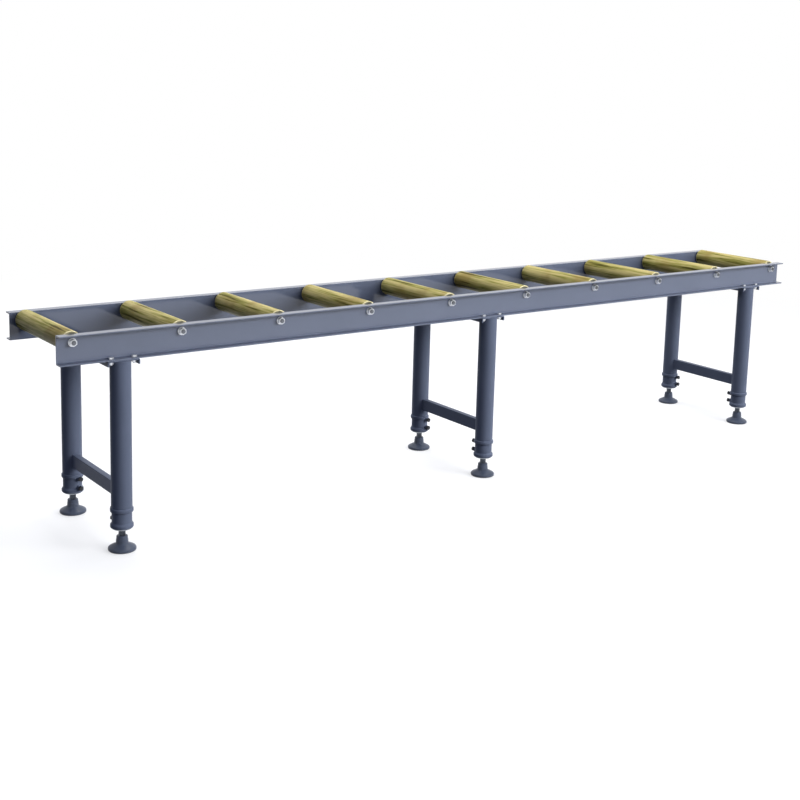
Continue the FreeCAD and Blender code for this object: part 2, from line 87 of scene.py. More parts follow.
class Slot(Enum):
    """Material slots of the record."""

    FRAME_PAINT = "frame_paint"
    ROLLER_PLATING = "roller_plating"
    BEARING_STEEL = "bearing_steel"
    AXLE_STEEL = "axle_steel"
    BRIGHT_ZINC = "bright_zinc"
    INNER_LEG_ZINC = "inner_leg_zinc"
    SPINDLE_STEEL = "spindle_steel"
    BLACK_SCREWS = "black_screws"
    FOOT_PAINT = "foot_paint"


def linear(hex_colour: str) -> tuple[float, float, float, float]:
    """Turns an sRGB hex colour into a linear one.

    Args:
        hex_colour: Six hex digits after a hash.

    Returns:
        Linear red, green, blue and an alpha of one.
    """
    coded = np.array([int(hex_colour[i:i + 2], 16) for i in (1, 3, 5)]) / 255.0
    plain = np.where(coded <= 0.04045, coded / 12.92, ((coded + 0.055) / 1.055) ** 2.4)
    return (*plain.tolist(), 1.0)


def per_metre(grain_mm: float) -> float:
    """Texture scale at which one grain of a pattern is this many millimetres across."""
    return 1.0 / (grain_mm * MM)


def add_node(tree: bpy.types.NodeTree, kind: str, settings: dict[str, Any] | None = None,
             inputs: dict[str | int, Any] | None = None) -> bpy.types.Node:
    """Adds a node with its settings and links.

    Args:
        tree: Node tree that takes the node.
        kind: Blender's name for the kind of node.
        settings: Properties of the node, by name.
        inputs: Values for its sockets, or other nodes' outputs to link to them, by name or number.

    Returns:
        The new node.
    """
    node = tree.nodes.new(kind)
    for name, value in (settings or {}).items():
        setattr(node, name, value)
    for name, value in (inputs or {}).items():
        if isinstance(value, bpy.types.NodeSocket):
            tree.links.new(value, node.inputs[name])
        else:
            node.inputs[name].default_value = value
    return node


@dataclass(frozen=True)
class Finish:
    """A finish and the record's slot that it belongs to."""

    name: str
    slot: Slot

    def sockets(self, tree: bpy.types.NodeTree, place: bpy.types.NodeSocket) -> dict[str, Any]:
        """Works out what goes into the shader.

        Args:
            tree: Node tree of the material.
            place: Object coordinates, in metres.

        Returns:
            Values and links for the shader's sockets.
        """
        raise NotImplementedError

    def material(self) -> bpy.types.Material:
        """Makes the material on the first call.

        Returns:
            The material, the same one each time.
        """
        found = bpy.data.materials.get(self.name)
        if found:
            return found
        material = bpy.data.materials.new(self.name)
        material.use_nodes = True
        tree = material.node_tree
        tree.nodes.clear()
        place = add_node(tree, "ShaderNodeTexCoord").outputs["Object"]
        shader = add_node(tree, "ShaderNodeBsdfPrincipled", inputs=self.sockets(tree, place))
        add_node(tree, "ShaderNodeOutputMaterial", inputs={"Surface": shader.outputs["BSDF"]})
        return material

    def dress(self, piece: bpy.types.Object) -> None:
        """Gives the finish to a whole piece.

        Args:
            piece: The piece, with or without material slots of its own.
        """
        if not piece.material_slots:
            piece.data.materials.append(None)
        for slot in piece.material_slots:
            slot.material = self.material()


@dataclass(frozen=True)
class StovedPaint(Finish):
    """Stoved enamel on steel: an even colour with a soft sheen, a slight orange peel and faint clouds."""

    colour: str
    shade: str
    roughness: float
    specular: float
    cloud_mm: float
    # Real orange peel is about 2 mm across; it is drawn coarser so that it shows from a few metres away.
    peel_mm: float
    peel_depth_mm: float
    # Share by which the peel moves the roughness up and down.
    sheen_swing: float = 0.3
    bump_strength: float = 0.5

    def sockets(self, tree: bpy.types.NodeTree, place: bpy.types.NodeSocket) -> dict[str, Any]:
        """Clouds move the colour a little; the peel moves the sheen and bends the reflections.

        Args:
            tree: Node tree of the material.
            place: Object coordinates, in metres.

        Returns:
            Values and links for the shader's sockets.
        """
        clouds = add_node(tree, "ShaderNodeTexNoise", inputs={
            "Vector": place, "Scale": per_metre(self.cloud_mm), "Detail": 4.0, "Roughness": 0.6})
        peel = add_node(tree, "ShaderNodeTexNoise", inputs={
            "Vector": place, "Scale": per_metre(self.peel_mm), "Detail": 1.0})
        colour = add_node(tree, "ShaderNodeMix", {"data_type": "RGBA"}, {
            MIX_FACTOR: clouds.outputs["Fac"], MIX_A: linear(self.shade), MIX_B: linear(self.colour)})
        sheen = add_node(tree, "ShaderNodeMapRange", inputs={
            "Value": peel.outputs["Fac"], "To Min": (1.0 - self.sheen_swing) * self.roughness,
            "To Max": (1.0 + self.sheen_swing) * self.roughness})
        bump = add_node(tree, "ShaderNodeBump", inputs={
            "Height": peel.outputs["Fac"], "Strength": self.bump_strength,
            "Distance": self.peel_depth_mm * MM})
        return {"Base Color": colour.outputs[MIX_RESULT], "Roughness": sheen.outputs["Result"],
                "Normal": bump.outputs["Normal"], "IOR": 1.5, "Specular IOR Level": self.specular}


@dataclass(frozen=True)
class YellowChromate(Finish):
    """Yellow-passivated zinc on drawn tube: olive gold streaked along Y; each rim has a painted highlight."""

    olive: str
    gold: str
    tarnish: str
    line: str
    # Pale colour of a painted highlight on the end edge of each tube.
    rim: str
    metallic: float
    specular: float
    roughness: float
    # Real drawing marks are under a millimetre apart; they are drawn coarser so that they show.
    streak_mm: float
    streak_length_mm: float
    drift_mm: float
    # Distance from the middle where the painted rim highlight is full, and the width it comes in over.
    rim_place_mm: float
    rim_width_mm: float
    # Values of the streaks between which olive turns to gold, and below which dark lines come in.
    gold_range: tuple[float, float] = (0.42, 0.58)
    line_range: tuple[float, float] = (0.42, 0.34)
    line_share: float = 0.9
    # Values of the drift between which the tarnish comes in.
    tarnish_range: tuple[float, float] = (0.5, 0.7)
    tarnish_share: float = 0.6
    sheen_swing: float = 0.12
    bump_strength: float = 0.4
    depth_mm: float = 0.15

    def sockets(self, tree: bpy.types.NodeTree, place: bpy.types.NodeSocket) -> dict[str, Any]:
        """Streaks are noise pulled out along Y, whose low values draw lines; a slower noise drifts the hue.

        Args:
            tree: Node tree of the material.
            place: Object coordinates, in metres.

        Returns:
            Values and links for the shader's sockets.
        """
        across, along = per_metre(self.streak_mm), per_metre(self.streak_length_mm)
        pulled = add_node(tree, "ShaderNodeMapping", inputs={
            "Vector": place, "Scale": (across, along, across)})
        streaks = add_node(tree, "ShaderNodeTexNoise", inputs={
            "Vector": pulled.outputs["Vector"], "Scale": 1.0, "Detail": 3.0, "Roughness": 0.65})
        drift = add_node(tree, "ShaderNodeTexNoise", inputs={
            "Vector": place, "Scale": per_metre(self.drift_mm), "Detail": 2.0})
        spread = add_node(tree, "ShaderNodeMapRange", inputs={
            "Value": streaks.outputs["Fac"], "From Min": self.gold_range[0], "From Max": self.gold_range[1]})
        film = add_node(tree, "ShaderNodeMix", {"data_type": "RGBA"}, {
            MIX_FACTOR: spread.outputs["Result"], MIX_A: linear(self.olive), MIX_B: linear(self.gold)})
        patch = add_node(tree, "ShaderNodeMapRange", inputs={
            "Value": drift.outputs["Fac"], "From Min": self.tarnish_range[0],
            "From Max": self.tarnish_range[1], "To Max": self.tarnish_share})
        tarnished = add_node(tree, "ShaderNodeMix", {"data_type": "RGBA"}, {
            MIX_FACTOR: patch.outputs["Result"], MIX_A: film.outputs[MIX_RESULT],
            MIX_B: linear(self.tarnish)})
        drawn = add_node(tree, "ShaderNodeMapRange", inputs={
            "Value": streaks.outputs["Fac"], "From Min": self.line_range[0],
            "From Max": self.line_range[1], "To Max": self.line_share})
        lined = add_node(tree, "ShaderNodeMix", {"data_type": "RGBA"}, {
            MIX_FACTOR: drawn.outputs["Result"], MIX_A: tarnished.outputs[MIX_RESULT],
            MIX_B: linear(self.line)})
        # Painted highlight: the pale rim colour comes in over the last few millimetres before each tube end.
        axes = add_node(tree, "ShaderNodeSeparateXYZ", inputs={"Vector": place})
        from_middle = add_node(tree, "ShaderNodeMath", {"operation": "ABSOLUTE"}, {0: axes.outputs["Y"]})
        rim_highlight_mask = add_node(tree, "ShaderNodeMapRange", {"interpolation_type": "SMOOTHSTEP"}, {
            "Value": from_middle.outputs["Value"], "From Min": (self.rim_place_mm - self.rim_width_mm) * MM,
            "From Max": self.rim_place_mm * MM})
        colour = add_node(tree, "ShaderNodeMix", {"data_type": "RGBA"}, {
            MIX_FACTOR: rim_highlight_mask.outputs["Result"], MIX_A: lined.outputs[MIX_RESULT], MIX_B: linear(self.rim)})
        sheen = add_node(tree, "ShaderNodeMapRange", inputs={
            "Value": streaks.outputs["Fac"], "To Min": self.roughness + self.sheen_swing,
            "To Max": self.roughness - self.sheen_swing})
        bump = add_node(tree, "ShaderNodeBump", inputs={
            "Height": streaks.outputs["Fac"], "Strength": self.bump_strength, "Distance": self.depth_mm * MM})
        return {"Base Color": colour.outputs[MIX_RESULT], "Roughness": sheen.outputs["Result"],
                "Normal": bump.outputs["Normal"], "Metallic": self.metallic,
                "Specular IOR Level": self.specular}


@dataclass(frozen=True)
class BareMetal(Finish):
    """Metal that shows how it was worked: plated and tumbled, drawn along its length, or rolled in rings."""

    colour: str
    shade: str
    roughness: float
    metallic: float
    # Real tool and barrel marks are finer than a millimetre; they are drawn coarser so that they show.
    grain_mm: tuple[float, float, float]
    depth_mm: float
    sheen_swing: float = 0.12
    bump_strength: float = 0.5

    def sockets(self, tree: bpy.types.NodeTree, place: bpy.types.NodeSocket) -> dict[str, Any]:
        """One noise, with its own grain along X, Y and Z, moves the colour, the roughness and the surface.

        Args:
            tree: Node tree of the material.
            place: Object coordinates, in metres.

        Returns:
            Values and links for the shader's sockets.
        """
        scaled = add_node(tree, "ShaderNodeMapping", inputs={
            "Vector": place, "Scale": tuple(per_metre(grain) for grain in self.grain_mm)})
        marks = add_node(tree, "ShaderNodeTexNoise", inputs={
            "Vector": scaled.outputs["Vector"], "Scale": 1.0, "Detail": 2.0})
        colour = add_node(tree, "ShaderNodeMix", {"data_type": "RGBA"}, {
            MIX_FACTOR: marks.outputs["Fac"], MIX_A: linear(self.shade), MIX_B: linear(self.colour)})
        sheen = add_node(tree, "ShaderNodeMapRange", inputs={
            "Value": marks.outputs["Fac"], "To Min": self.roughness + self.sheen_swing,
            "To Max": self.roughness - self.sheen_swing})
        bump = add_node(tree, "ShaderNodeBump", inputs={
            "Height": marks.outputs["Fac"], "Strength": self.bump_strength, "Distance": self.depth_mm * MM})
        return {"Base Color": colour.outputs[MIX_RESULT], "Roughness": sheen.outputs["Result"],
                "Normal": bump.outputs["Normal"], "Metallic": self.metallic}


# Blue-grey enamel, stoved on flat rails: glossy enough to mirror the rollers, and bright at a low angle.
RAIL_ENAMEL = StovedPaint("blue_grey_gloss_enamel", Slot.FRAME_PAINT, colour="#5c6375", shade="#535a6b",
                          roughness=0.07, specular=0.55, cloud_mm=160.0, peel_mm=9.0, peel_depth_mm=0.02)
# The same enamel on the welded leg frames, flatter: a broad soft highlight along each tube.
FRAME_ENAMEL = StovedPaint("blue_grey_stoved_enamel", Slot.FRAME_PAINT, colour="#5b6274", shade="#525969",
                           roughness=0.36, specular=0.05, cloud_mm=160.0, peel_mm=9.0, peel_depth_mm=0.03)
# The same enamel over cast iron: the casting's skin shows as a coarser texture and a duller sheen.
# Its colour is darker than the frame's enamel: painted shade for the dimmer light down at the feet.
FOOT_ENAMEL = StovedPaint("blue_grey_enamel_on_cast_iron", Slot.FOOT_PAINT, colour="#464d5d", shade="#3b4250",
                          roughness=0.38, specular=0.3, cloud_mm=30.0, peel_mm=5.0, peel_depth_mm=0.25)
# Yellow passivation on zinc: a dull film without a metal's mirror, olive gold with pale and dark lines.
# Its rim colour is a painted highlight on the tube ends.
ROLLER_CHROMATE = YellowChromate("yellow_chromate_on_drawn_tube", Slot.ROLLER_PLATING, olive="#837f3d",
                                 gold="#b8aa70", tarnish="#87703f", line="#3f3817", rim="#cdc39a",
                                 metallic=0.0, specular=0.02, roughness=0.36, streak_mm=9.0,
                                 streak_length_mm=260.0, drift_mm=90.0, rim_place_mm=175.0, rim_width_mm=3.0)
# Bright zinc, tumbled in a barrel: nearly white metal, a little cloudy.
BRIGHT_ZINC = BareMetal("bright_zinc_on_fasteners", Slot.BRIGHT_ZINC, colour="#f4f5f7", shade="#cdd1d8",
                        roughness=0.3, metallic=1.0, grain_mm=(4.0, 4.0, 4.0), depth_mm=0.04)
# Dull zinc on drawn tube: grey, with fine marks along the tube.
LEG_ZINC = BareMetal("dull_zinc_on_drawn_tube", Slot.INNER_LEG_ZINC, colour="#b6babf", shade="#92979e",
                     roughness=0.38, metallic=1.0, grain_mm=(2.5, 2.5, 60.0), depth_mm=0.05)
# Rolled thread on plain oiled steel: dark grey, with marks that run round it.
SPINDLE_STEEL = BareMetal("rolled_thread_steel", Slot.SPINDLE_STEEL, colour="#6f747d", shade="#4b5058",
                          roughness=0.34, metallic=1.0, grain_mm=(6.0, 6.0, 1.2), depth_mm=0.03)
# Cold-drawn bar, smooth with marks along Y, darker than bright bar: painted shade in the middle of each axle
# nut.
AXLE_STEEL = BareMetal("bright_drawn_bar", Slot.AXLE_STEEL, colour="#83868b", shade="#575a60",
                       roughness=0.3, metallic=1.0, grain_mm=(2.0, 40.0, 2.0), depth_mm=0.03)
# Pressed steel housings, passivated yellow like the tubes and a little duller.
BEARING_STEEL = BareMetal("yellow_zinc_on_pressed_steel", Slot.BEARING_STEEL, colour="#8a8668",
                          shade="#66624a", roughness=0.4, metallic=0.2, grain_mm=(8.0, 8.0, 8.0),
                          depth_mm=0.05)
# Black oxide on screws: nearly black, with a low sheen.
BLACK_OXIDE = BareMetal("black_oxide_on_screws", Slot.BLACK_SCREWS, colour="#24262b", shade="#15161a",
                        roughness=0.4, metallic=0.3, grain_mm=(3.0, 3.0, 3.0), depth_mm=0.05)


def box_mm(node: str) -> tuple[np.ndarray, np.ndarray]:
    """Lowest and highest corner of a CAD node, in millimetres."""
    low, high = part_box(node)
    return np.array(low) / MM, np.array(high) / MM


def ring_quads(rows: int, columns: int) -> np.ndarray:
    """Quads of a grid whose every row is a closed ring.

    Args:
        rows: Number of rings.
        columns: Points on each ring.

    Returns:
        Four point numbers for each quad.
    """
    row, column = np.meshgrid(np.arange(rows - 1), np.arange(columns), indexing="ij")
    after = (column + 1) % columns
    corners = (row * columns + column, row * columns + after,
               (row + 1) * columns + after, (row + 1) * columns + column)
    return np.stack(corners, axis=-1).reshape(-1, 4)


def rounded(corners: list[tuple[float, float]], cut: float, closed: bool, steps: int = 5) -> np.ndarray:
    """Outline with softened corners.

    Each corner P becomes the quadratic curve (1-s)^2 A + 2s(1-s) P + s^2 B, where A and B lie on the two
    sides at the same distance from P: the cut, or a third of the shorter side where that is less.

    Args:
        corners: Radius and height of each corner, in order.
        cut: Distance from a corner at which its curve starts.
        closed: Whether the outline comes back to its start; otherwise its two ends stay sharp.
        steps: Points on each curve.

    Returns:
        Points of the outline, ending with the first one again where it is closed.
    """
    points = np.array(corners, dtype=float)
    back = np.roll(points, 1, axis=0) - points
    ahead = np.roll(points, -1, axis=0) - points
    back_length = np.linalg.norm(back, axis=1)
    ahead_length = np.linalg.norm(ahead, axis=1)
    reach = np.minimum(cut, np.minimum(back_length, ahead_length) / 3.0)
    start = points + back * (reach / back_length)[:, None]
    end = points + ahead * (reach / ahead_length)[:, None]
    s = np.linspace(0.0, 1.0, steps)[None, :, None]
    curve = (1 - s) ** 2 * start[:, None] + 2 * s * (1 - s) * points[:, None] + s ** 2 * end[:, None]
    if closed:
        return np.vstack([curve.reshape(-1, 2), curve[0, :1]])
    return np.vstack([points[:1], curve[1:-1].reshape(-1, 2), points[-1:]])


def lathe(outline: np.ndarray, columns: int) -> np.ndarray:
    """Surface of an outline turned about Z: (r cos a, r sin a, z) for every outline point and angle.

    Args:
        outline: Radius and height of each point.
        columns: Points round the axis.

    Returns:
        A ring of points for each outline point.
    """
    angle = np.linspace(0.0, FULL_TURN, columns, endpoint=False)
    radius, height = outline[:, :1], outline[:, 1:]
    return np.stack([radius * np.cos(angle), radius * np.sin(angle), height + 0.0 * angle], axis=-1)


def hexagon(flats: float, bore: float, low: float, high: float, columns: int = 48) -> np.ndarray:
    """Hexagon nut or head about Z, with its corners turned down at both ends.

    The radius at angle a is that of a hexagon, flats / 2 / cos(a from the nearest flat), but never more than
    that of a 30 degree cone that starts just inside the flats at each end. The upper mouth of the bore is
    countersunk by a tenth of the bore.

    Args:
        flats: Width across flats.
        bore: Diameter of the hole, or zero for a solid head.
        low: Height of the lower end.
        high: Height of the upper end.
        columns: Points round the axis.

    Returns:
        Rings of points from the bore round the outside and back to the bore.
    """
    land_share, sink_share, cone_rings = 0.47, 0.1, 5
    sixth = FULL_TURN / 6.0
    angle = np.linspace(0.0, FULL_TURN, columns, endpoint=False)
    from_flat = (angle + sixth / 2.0) % sixth - sixth / 2.0
    prism = flats / 2.0 / np.cos(from_flat)
    corner = flats / 2.0 / math.cos(sixth / 2.0)
    land = land_share * flats
    drop = (corner - land) * math.tan(sixth / 2.0)
    end = np.linspace(0.0, drop, cone_rings)
    height = np.concatenate([low + end, (high - end)[::-1]])
    room = land + np.minimum(height - low, high - height) / math.tan(sixth / 2.0)
    outside = np.minimum(prism[None, :], room[:, None])
    hole = np.full((1, columns), bore / 2.0)
    sink = sink_share * bore
    radius = np.vstack([hole, outside, hole + sink, hole, hole])
    level = np.concatenate([[low], height, [high, high - sink, low]])[:, None] + 0.0 * angle
    return np.stack([radius * np.cos(angle), radius * np.sin(angle), level], axis=-1)


def thread(diameter: float, pitch: float, low: float, high: float, columns: int = 32) -> np.ndarray:
    """Screw thread about Z with chamfered, closed ends.

    The radius at height z and angle a depends on the phase z / pitch - a / turn: it falls and rises in a
    straight-sided wave, flat at the crest and at the root, and stays inside a 45 degree cone at each end.

    Args:
        diameter: Diameter over the crests.
        pitch: Rise of one turn.
        low: Height of the lower end.
        high: Height of the upper end.
        columns: Points round the axis.

    Returns:
        Rings of points from the lower pole to the upper one.
    """
    depth_share, rings_per_turn = 0.61, 8
    # The wave is a triangle from -0.8 to 1.8, cut off at 0 for the crests and at 1 for the roots.
    wave_height, wave_drop = 2.6, 0.8
    depth = depth_share * pitch
    angle = np.linspace(0.0, FULL_TURN, columns, endpoint=False)
    rows = int(rings_per_turn * (high - low) / pitch) + 1
    height = np.linspace(low, high, rows)[:, None]
    phase = (height / pitch - angle / FULL_TURN) % 1.0
    wave = np.clip(wave_height * np.abs(2.0 * phase - 1.0) - wave_drop, 0.0, 1.0)
    flank = diameter / 2.0 - depth * wave
    cone = diameter / 2.0 - depth + np.minimum(height - low, high - height)
    radius = np.minimum(flank, cone)
    pole = np.zeros((1, columns))
    radius = np.vstack([pole, radius, pole])
    level = np.vstack([pole + low, height + 0.0 * angle, pole + high])
    return np.stack([radius * np.cos(angle), radius * np.sin(angle), level], axis=-1)


def bead(path: np.ndarray, radius: float, ripple_mm: float, columns: int = 10) -> np.ndarray:
    """Weld bead along a closed path: a tube whose radius swells and dips like a row of overlapping drops.

    At each path point the section is a circle round the path, of radius r (0.8 + 0.2 |sin(pi n)|), where n is
    the length run so far, counted in ripples. The ripples are about as long as asked and fit a whole number.

    Args:
        path: Points of the closed path, without the first one again.
        radius: Largest radius of the bead.
        ripple_mm: Length of one ripple.
        columns: Points round the section.

    Returns:
        A ring of points for each path point, and the first ring again.
    """
    dip = 0.2
    tangent = np.roll(path, -1, axis=0) - np.roll(path, 1, axis=0)
    tangent /= np.linalg.norm(tangent, axis=1, keepdims=True)
    outward = path - path.mean(axis=0)
    outward -= tangent * np.sum(outward * tangent, axis=1, keepdims=True)
    outward /= np.linalg.norm(outward, axis=1, keepdims=True)
    sideways = np.cross(tangent, outward)
    run = np.cumsum(np.linalg.norm(np.roll(path, -1, axis=0) - path, axis=1))
    ripples = max(1, round(run[-1] / ripple_mm))
    swell = radius * (1.0 - dip + dip * np.abs(np.sin(math.pi * ripples * run / run[-1])))
    angle = np.linspace(0.0, FULL_TURN, columns, endpoint=False)
    around = np.cos(angle)[:, None] * outward[:, None] + np.sin(angle)[:, None] * sideways[:, None]
    rings = path[:, None] + swell[:, None, None] * around
    return np.concatenate([rings, rings[:1]])


def placed(surface: np.ndarray, origins: np.ndarray, along: np.ndarray, up: np.ndarray) -> np.ndarray:
    """Copies of a surface, with its Z turned to one direction and its Y to another.

    Args:
        surface: Rings of points about Z.
        origins: Place of each copy.
        along: Direction that Z takes.
        up: Direction that Y takes, square to the first.

    Returns:
        One set of rings for each origin.
    """
    turn = np.stack([np.cross(up, along), up, along])
    return origins[:, None, None, :] + (surface @ turn)[None]


def make_piece(name: str, surfaces: list[np.ndarray], finish: Finish, body: str,
               replaced: tuple[str, ...] = ()) -> bpy.types.Object:
    """Makes one piece from ring surfaces and lets it ride on a body.

    Args:
        name: Name of the piece.
        surfaces: Rings of points in millimetres, or stacks of copies of them.
        finish: Finish of the whole piece.
        body: CAD body that it moves with.
        replaced: CAD nodes that it stands for.

    Returns:
        The new object.
    """
    points, quads, count = [], [], 0
    for surface in surfaces:
        rows, columns = surface.shape[-3:-1]
        copies = surface.reshape(-1, rows * columns, 3)
        first = count + np.arange(len(copies)) * rows * columns
        quads.append((ring_quads(rows, columns)[None] + first[:, None, None]).reshape(-1, 4))
        points.append(copies.reshape(-1, 3))
        count += points[-1].shape[0]
    mesh = bpy.data.meshes.new(name)
    mesh.from_pydata((np.vstack(points) * MM).tolist(), [], np.vstack(quads).tolist())
    work = bmesh.new()
    work.from_mesh(mesh)
    bmesh.ops.remove_doubles(work, verts=work.verts, dist=MERGE_MM * MM)
    bmesh.ops.recalc_face_normals(work, faces=work.faces)
    work.to_mesh(mesh)
    work.free()
    mesh.shade_smooth()
    mesh.set_sharp_from_angle(angle=math.radians(SHARP_ANGLE))
    piece = bpy.data.objects.new(name, mesh)
    bpy.context.scene.collection.objects.link(piece)
    finish.dress(piece)
    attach(piece, body)
    if replaced:
        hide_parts(*replaced)
    LOG.info("made %s, %d faces, on %s", name, len(mesh.polygons), body)
    return piece


def dress_nodes(finish: Finish, *nodes: str) -> None:
    """Gives a finish to CAD nodes that keep their own shape.

    Args:
        finish: The finish.
        nodes: Names of the nodes.
    """
    for node in nodes:
        finish.dress(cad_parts[node])
        LOG.info("dressed %s with %s", node, finish.name)


@dataclass
class RailPair:
    """The two channel rails that carry the rollers, which keep their CAD shape."""

    enamel: StovedPaint = RAIL_ENAMEL

    def dress(self) -> None:
        """Gives both rails their enamel."""
        dress_nodes(self.enamel, *(f"{side.name.lower()}_rail" for side in Side))


@dataclass
class RollerBed:
    """Ten rollers on fixed axles, with a washer and a nut at each axle end."""

    count: int = 10
    nut_flats: float = 19.0
    nut_height: float = 10.0
    thread_diameter: float = 12.0
    washer_diameter: float = 24.0
    washer_thickness: float = 2.5
    washer_edge: float = 0.5
    washer_clearance: float = 0.3
    washer_columns: int = 48

    def dress(self) -> None:
        """Gives the tubes, the bearing housings and the axles their finishes."""
        names = [f"roller_{number:02d}" for number in range(1, self.count + 1)]
        dress_nodes(ROLLER_CHROMATE, *(f"{name}_tube" for name in names))
        dress_nodes(BEARING_STEEL, *(f"{name}_housings" for name in names))
        dress_nodes(AXLE_STEEL, "roller_axles")

    def build(self) -> None:
        """Builds the nuts and washers, one set outwards from each web."""
        tubes = [box_mm(f"roller_{number:02d}_tube") for number in range(1, self.count + 1)]
        middles = np.array([(low + high) / 2.0 for low, high in tubes])
        low, high = box_mm("axle_nuts")
        face = (high[1] - low[1]) / 2.0 - self.nut_height - self.washer_thickness
        bore = self.thread_diameter / 2.0 + self.washer_clearance
        rim, top = self.washer_diameter / 2.0, self.washer_thickness
        section = rounded([(bore, 0.0), (rim, 0.0), (rim, top), (bore, top)], self.washer_edge, closed=True)
        washer = lathe(section, self.washer_columns)
        nut = hexagon(self.nut_flats, self.thread_diameter, top, top + self.nut_height)
        surfaces = []
        for side in Side:
            origins = middles + side.value * face * ACROSS
            surfaces += [placed(shape, origins, side.value * ACROSS, UP) for shape in (washer, nut)]
        make_piece("axle_nuts_and_washers", surfaces, BRIGHT_ZINC, "frame", ("axle_nuts",))


@dataclass
class LegFrame:
    """One leg frame: a saddle, two leg tubes and their welds to the saddle and the crossbar."""

    station: Station
    crossbar_width: float = 20.0
    weld_radius: float = 2.2
    top_weld_radius: float = 1.6
    ripple_mm: float = 3.2
    top_weld_sink: float = 0.4
    top_weld_points: int = 240
    bar_weld_points: int = 120
    bar_squareness: float = 0.3

    @property
    def name(self) -> str:
        """Name of the frame, as its nodes have it."""
        return self.station.name.lower()

    def legs(self) -> list[tuple[Side, np.ndarray, np.ndarray]]:
        """Side, lowest corner and highest corner of each leg tube."""
        return [(side, *box_mm(f"{side.name.lower()}_{self.name}_leg_tube")) for side in Side]

    def dress(self) -> None:
        """Gives the saddle and the tubes their enamel."""
        dress_nodes(FRAME_ENAMEL, f"{self.name}_saddle",
                    *(f"{side.name.lower()}_{self.name}_leg_tube" for side in Side))

    def top_weld(self, low: np.ndarray, high: np.ndarray) -> np.ndarray:
        """Bead round the top of a leg, half sunk in the corner between the tube and the saddle.

        Args:
            low: Lowest corner of the leg tube.
            high: Highest corner of the leg tube.

        Returns:
            Rings of points of the bead.
        """
        radius = (high[0] - low[0]) / 2.0 - self.top_weld_sink
        angle = np.linspace(0.0, FULL_TURN, self.top_weld_points, endpoint=False)
        level = np.full_like(angle, high[2] - self.top_weld_sink)
        middle = (low + high) / 2.0
        x, y = middle[0] + radius * np.cos(angle), middle[1] + radius * np.sin(angle)
        path = np.stack([x, y, level], axis=1)
        return bead(path, self.top_weld_radius, self.ripple_mm)

    def bar_weld(self, side: Side, low: np.ndarray, high: np.ndarray) -> np.ndarray:
        """Bead round the end of the crossbar, where it meets the round of a leg.

        The path is a rounded rectangle, x = a |cos|^0.3 and z = b |sin|^0.3 with their signs, laid on the
        leg's cylinder by y = sqrt(R^2 - x^2).

        Args:
            side: Side of the leg.
            low: Lowest corner of the leg tube.
            high: Highest corner of the leg tube.

        Returns:
            Rings of points of the bead.
        """
        radius = (high[0] - low[0]) / 2.0
        middle = (low + high) / 2.0
        bar_low, bar_high = box_mm("crossbars")
        half_width = self.crossbar_width / 2.0
        half_height = (bar_high[2] - bar_low[2]) / 2.0
        angle = np.linspace(0.0, FULL_TURN, self.bar_weld_points, endpoint=False)
        x = half_width * np.sign(np.cos(angle)) * np.abs(np.cos(angle)) ** self.bar_squareness
        z = half_height * np.sign(np.sin(angle)) * np.abs(np.sin(angle)) ** self.bar_squareness
        y = middle[1] - side.value * np.sqrt(radius ** 2 - x ** 2)
        path = np.stack([middle[0] + x, y, (bar_low[2] + bar_high[2]) / 2.0 + z], axis=1)
        return bead(path, self.weld_radius, self.ripple_mm)

    def build(self) -> None:
        """Builds the weld beads of both legs."""
        surfaces = []
        for side, low, high in self.legs():
            surfaces += [self.top_weld(low, high), self.bar_weld(side, low, high)]
        make_piece(f"{self.name}_frame_welds", surfaces, FRAME_ENAMEL, "frame")


@dataclass
class SaddleBolts:
    """Twelve bolts with nuts that hold the saddles to the rails' lower flanges."""

    flats: float = 13.0
    diameter: float = 8.0
    pitch: float = 1.25
    head_height: float = 5.5
    nut_height: float = 6.5
    plate_mm: float = 4.0
    flange_mm: float = 4.0
    spread: float = 68.0
    inset: float = 10.0
    columns: int = 24

    def places(self) -> np.ndarray:
        """Works out where the bolts stand.

        Returns:
            The point of each bolt's axis at the underside of a rail.
        """
        rail_low, _ = box_mm("front_rail")
        points = []
        for station in Station:
            low, high = box_mm(f"{station.name.lower()}_saddle")
            middle = (low[0] + high[0]) / 2.0
            for side in Side:
                y = -side.value * (rail_low[1] + self.inset)
                points += [(middle + half * self.spread / 2.0, y, rail_low[2]) for half in (-1, 1)]
        return np.array(points)

    def build(self) -> None:
        """Builds heads above the flange, nuts under the saddle, and the threads through both."""
        bottom = box_mm("rail_bolts")[0][2] - box_mm("front_rail")[0][2]
        under = -self.plate_mm
        shapes = [hexagon(self.flats, 0.0, self.flange_mm, self.flange_mm + self.head_height),
                  hexagon(self.flats, self.diameter, under - self.nut_height, under),
                  thread(self.diameter, self.pitch, bottom, self.flange_mm + THREAD_RUN_IN, self.columns)]
        surfaces = [placed(shape, self.places(), UP, ACROSS) for shape in shapes]
        make_piece("saddle_bolts_and_nuts", surfaces, BRIGHT_ZINC, "frame", ("rail_bolts",))


